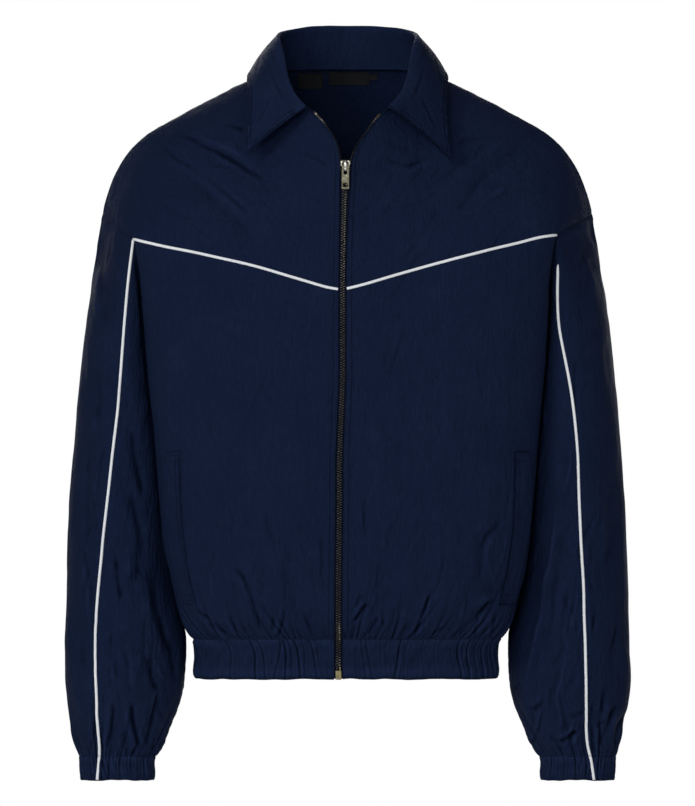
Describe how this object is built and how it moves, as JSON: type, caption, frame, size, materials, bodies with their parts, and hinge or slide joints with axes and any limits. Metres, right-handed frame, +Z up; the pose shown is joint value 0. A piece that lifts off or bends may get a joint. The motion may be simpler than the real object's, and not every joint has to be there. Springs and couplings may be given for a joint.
{
  "type": "windbreaker",
  "caption": "Zip-front windbreaker, filled out and hollow, with pointed fold-over collar, slanted yoke seams, white piping, side pocket welts, elastic hem band and cuffs.",
  "frame": {"origin": "middle of the neck, level with the points where the shoulder seams come nearest to the neck, where the wearer's neck and shoulders hold the garment", "axes": "+Z up, the front faces -Y, the wearer's left is +X"},
  "size_m": [0.6071, 0.2505, 0.813],
  "materials": {
    "shell_cloth": "matte crinkled navy nylon",
    "piping_cloth": "white woven piping",
    "tape_cloth": "black woven zip tape",
    "label_cloth": "bare black woven label",
    "slider_metal": "plated slider and pull tab",
    "box_metal": "dull brass end box"
  },
  "bodies": {
    "garment": {"front_right": "shell_cloth", "front_left": "shell_cloth", "yoke_right": "shell_cloth", "yoke_left": "shell_cloth", "back": "shell_cloth", "sleeve_right_front": "shell_cloth", "sleeve_right_back": "shell_cloth", "sleeve_left_front": "shell_cloth", "sleeve_left_back": "shell_cloth", "cuff_right": "shell_cloth", "cuff_left": "shell_cloth", "hem_band": "shell_cloth", "collar": "shell_cloth", "welt_right": "shell_cloth", "welt_left": "shell_cloth", "piping_yoke_right": "piping_cloth", "piping_yoke_left": "piping_cloth", "piping_sleeve_right": "piping_cloth", "piping_sleeve_left": "piping_cloth", "piping_cuff_right": "piping_cloth", "piping_cuff_left": "piping_cloth", "zip_tape_right": "tape_cloth", "zip_tape_left": "tape_cloth", "label_wide": "label_cloth", "label_side": "label_cloth", "label_tab": "label_cloth", "zip_slider": "slider_metal", "zip_end_box": "box_metal"},
    "pull_tab": {"zip_pull": "slider_metal"}
  },
  "joints": [
    {"name": "pull_tab_swing", "type": "hinge", "parent": "garment", "child": "pull_tab", "pos_m": [-0.0005, -0.122, -0.09], "axis": [-1, 0, 0], "range_deg": [0, 140]}
  ]
}
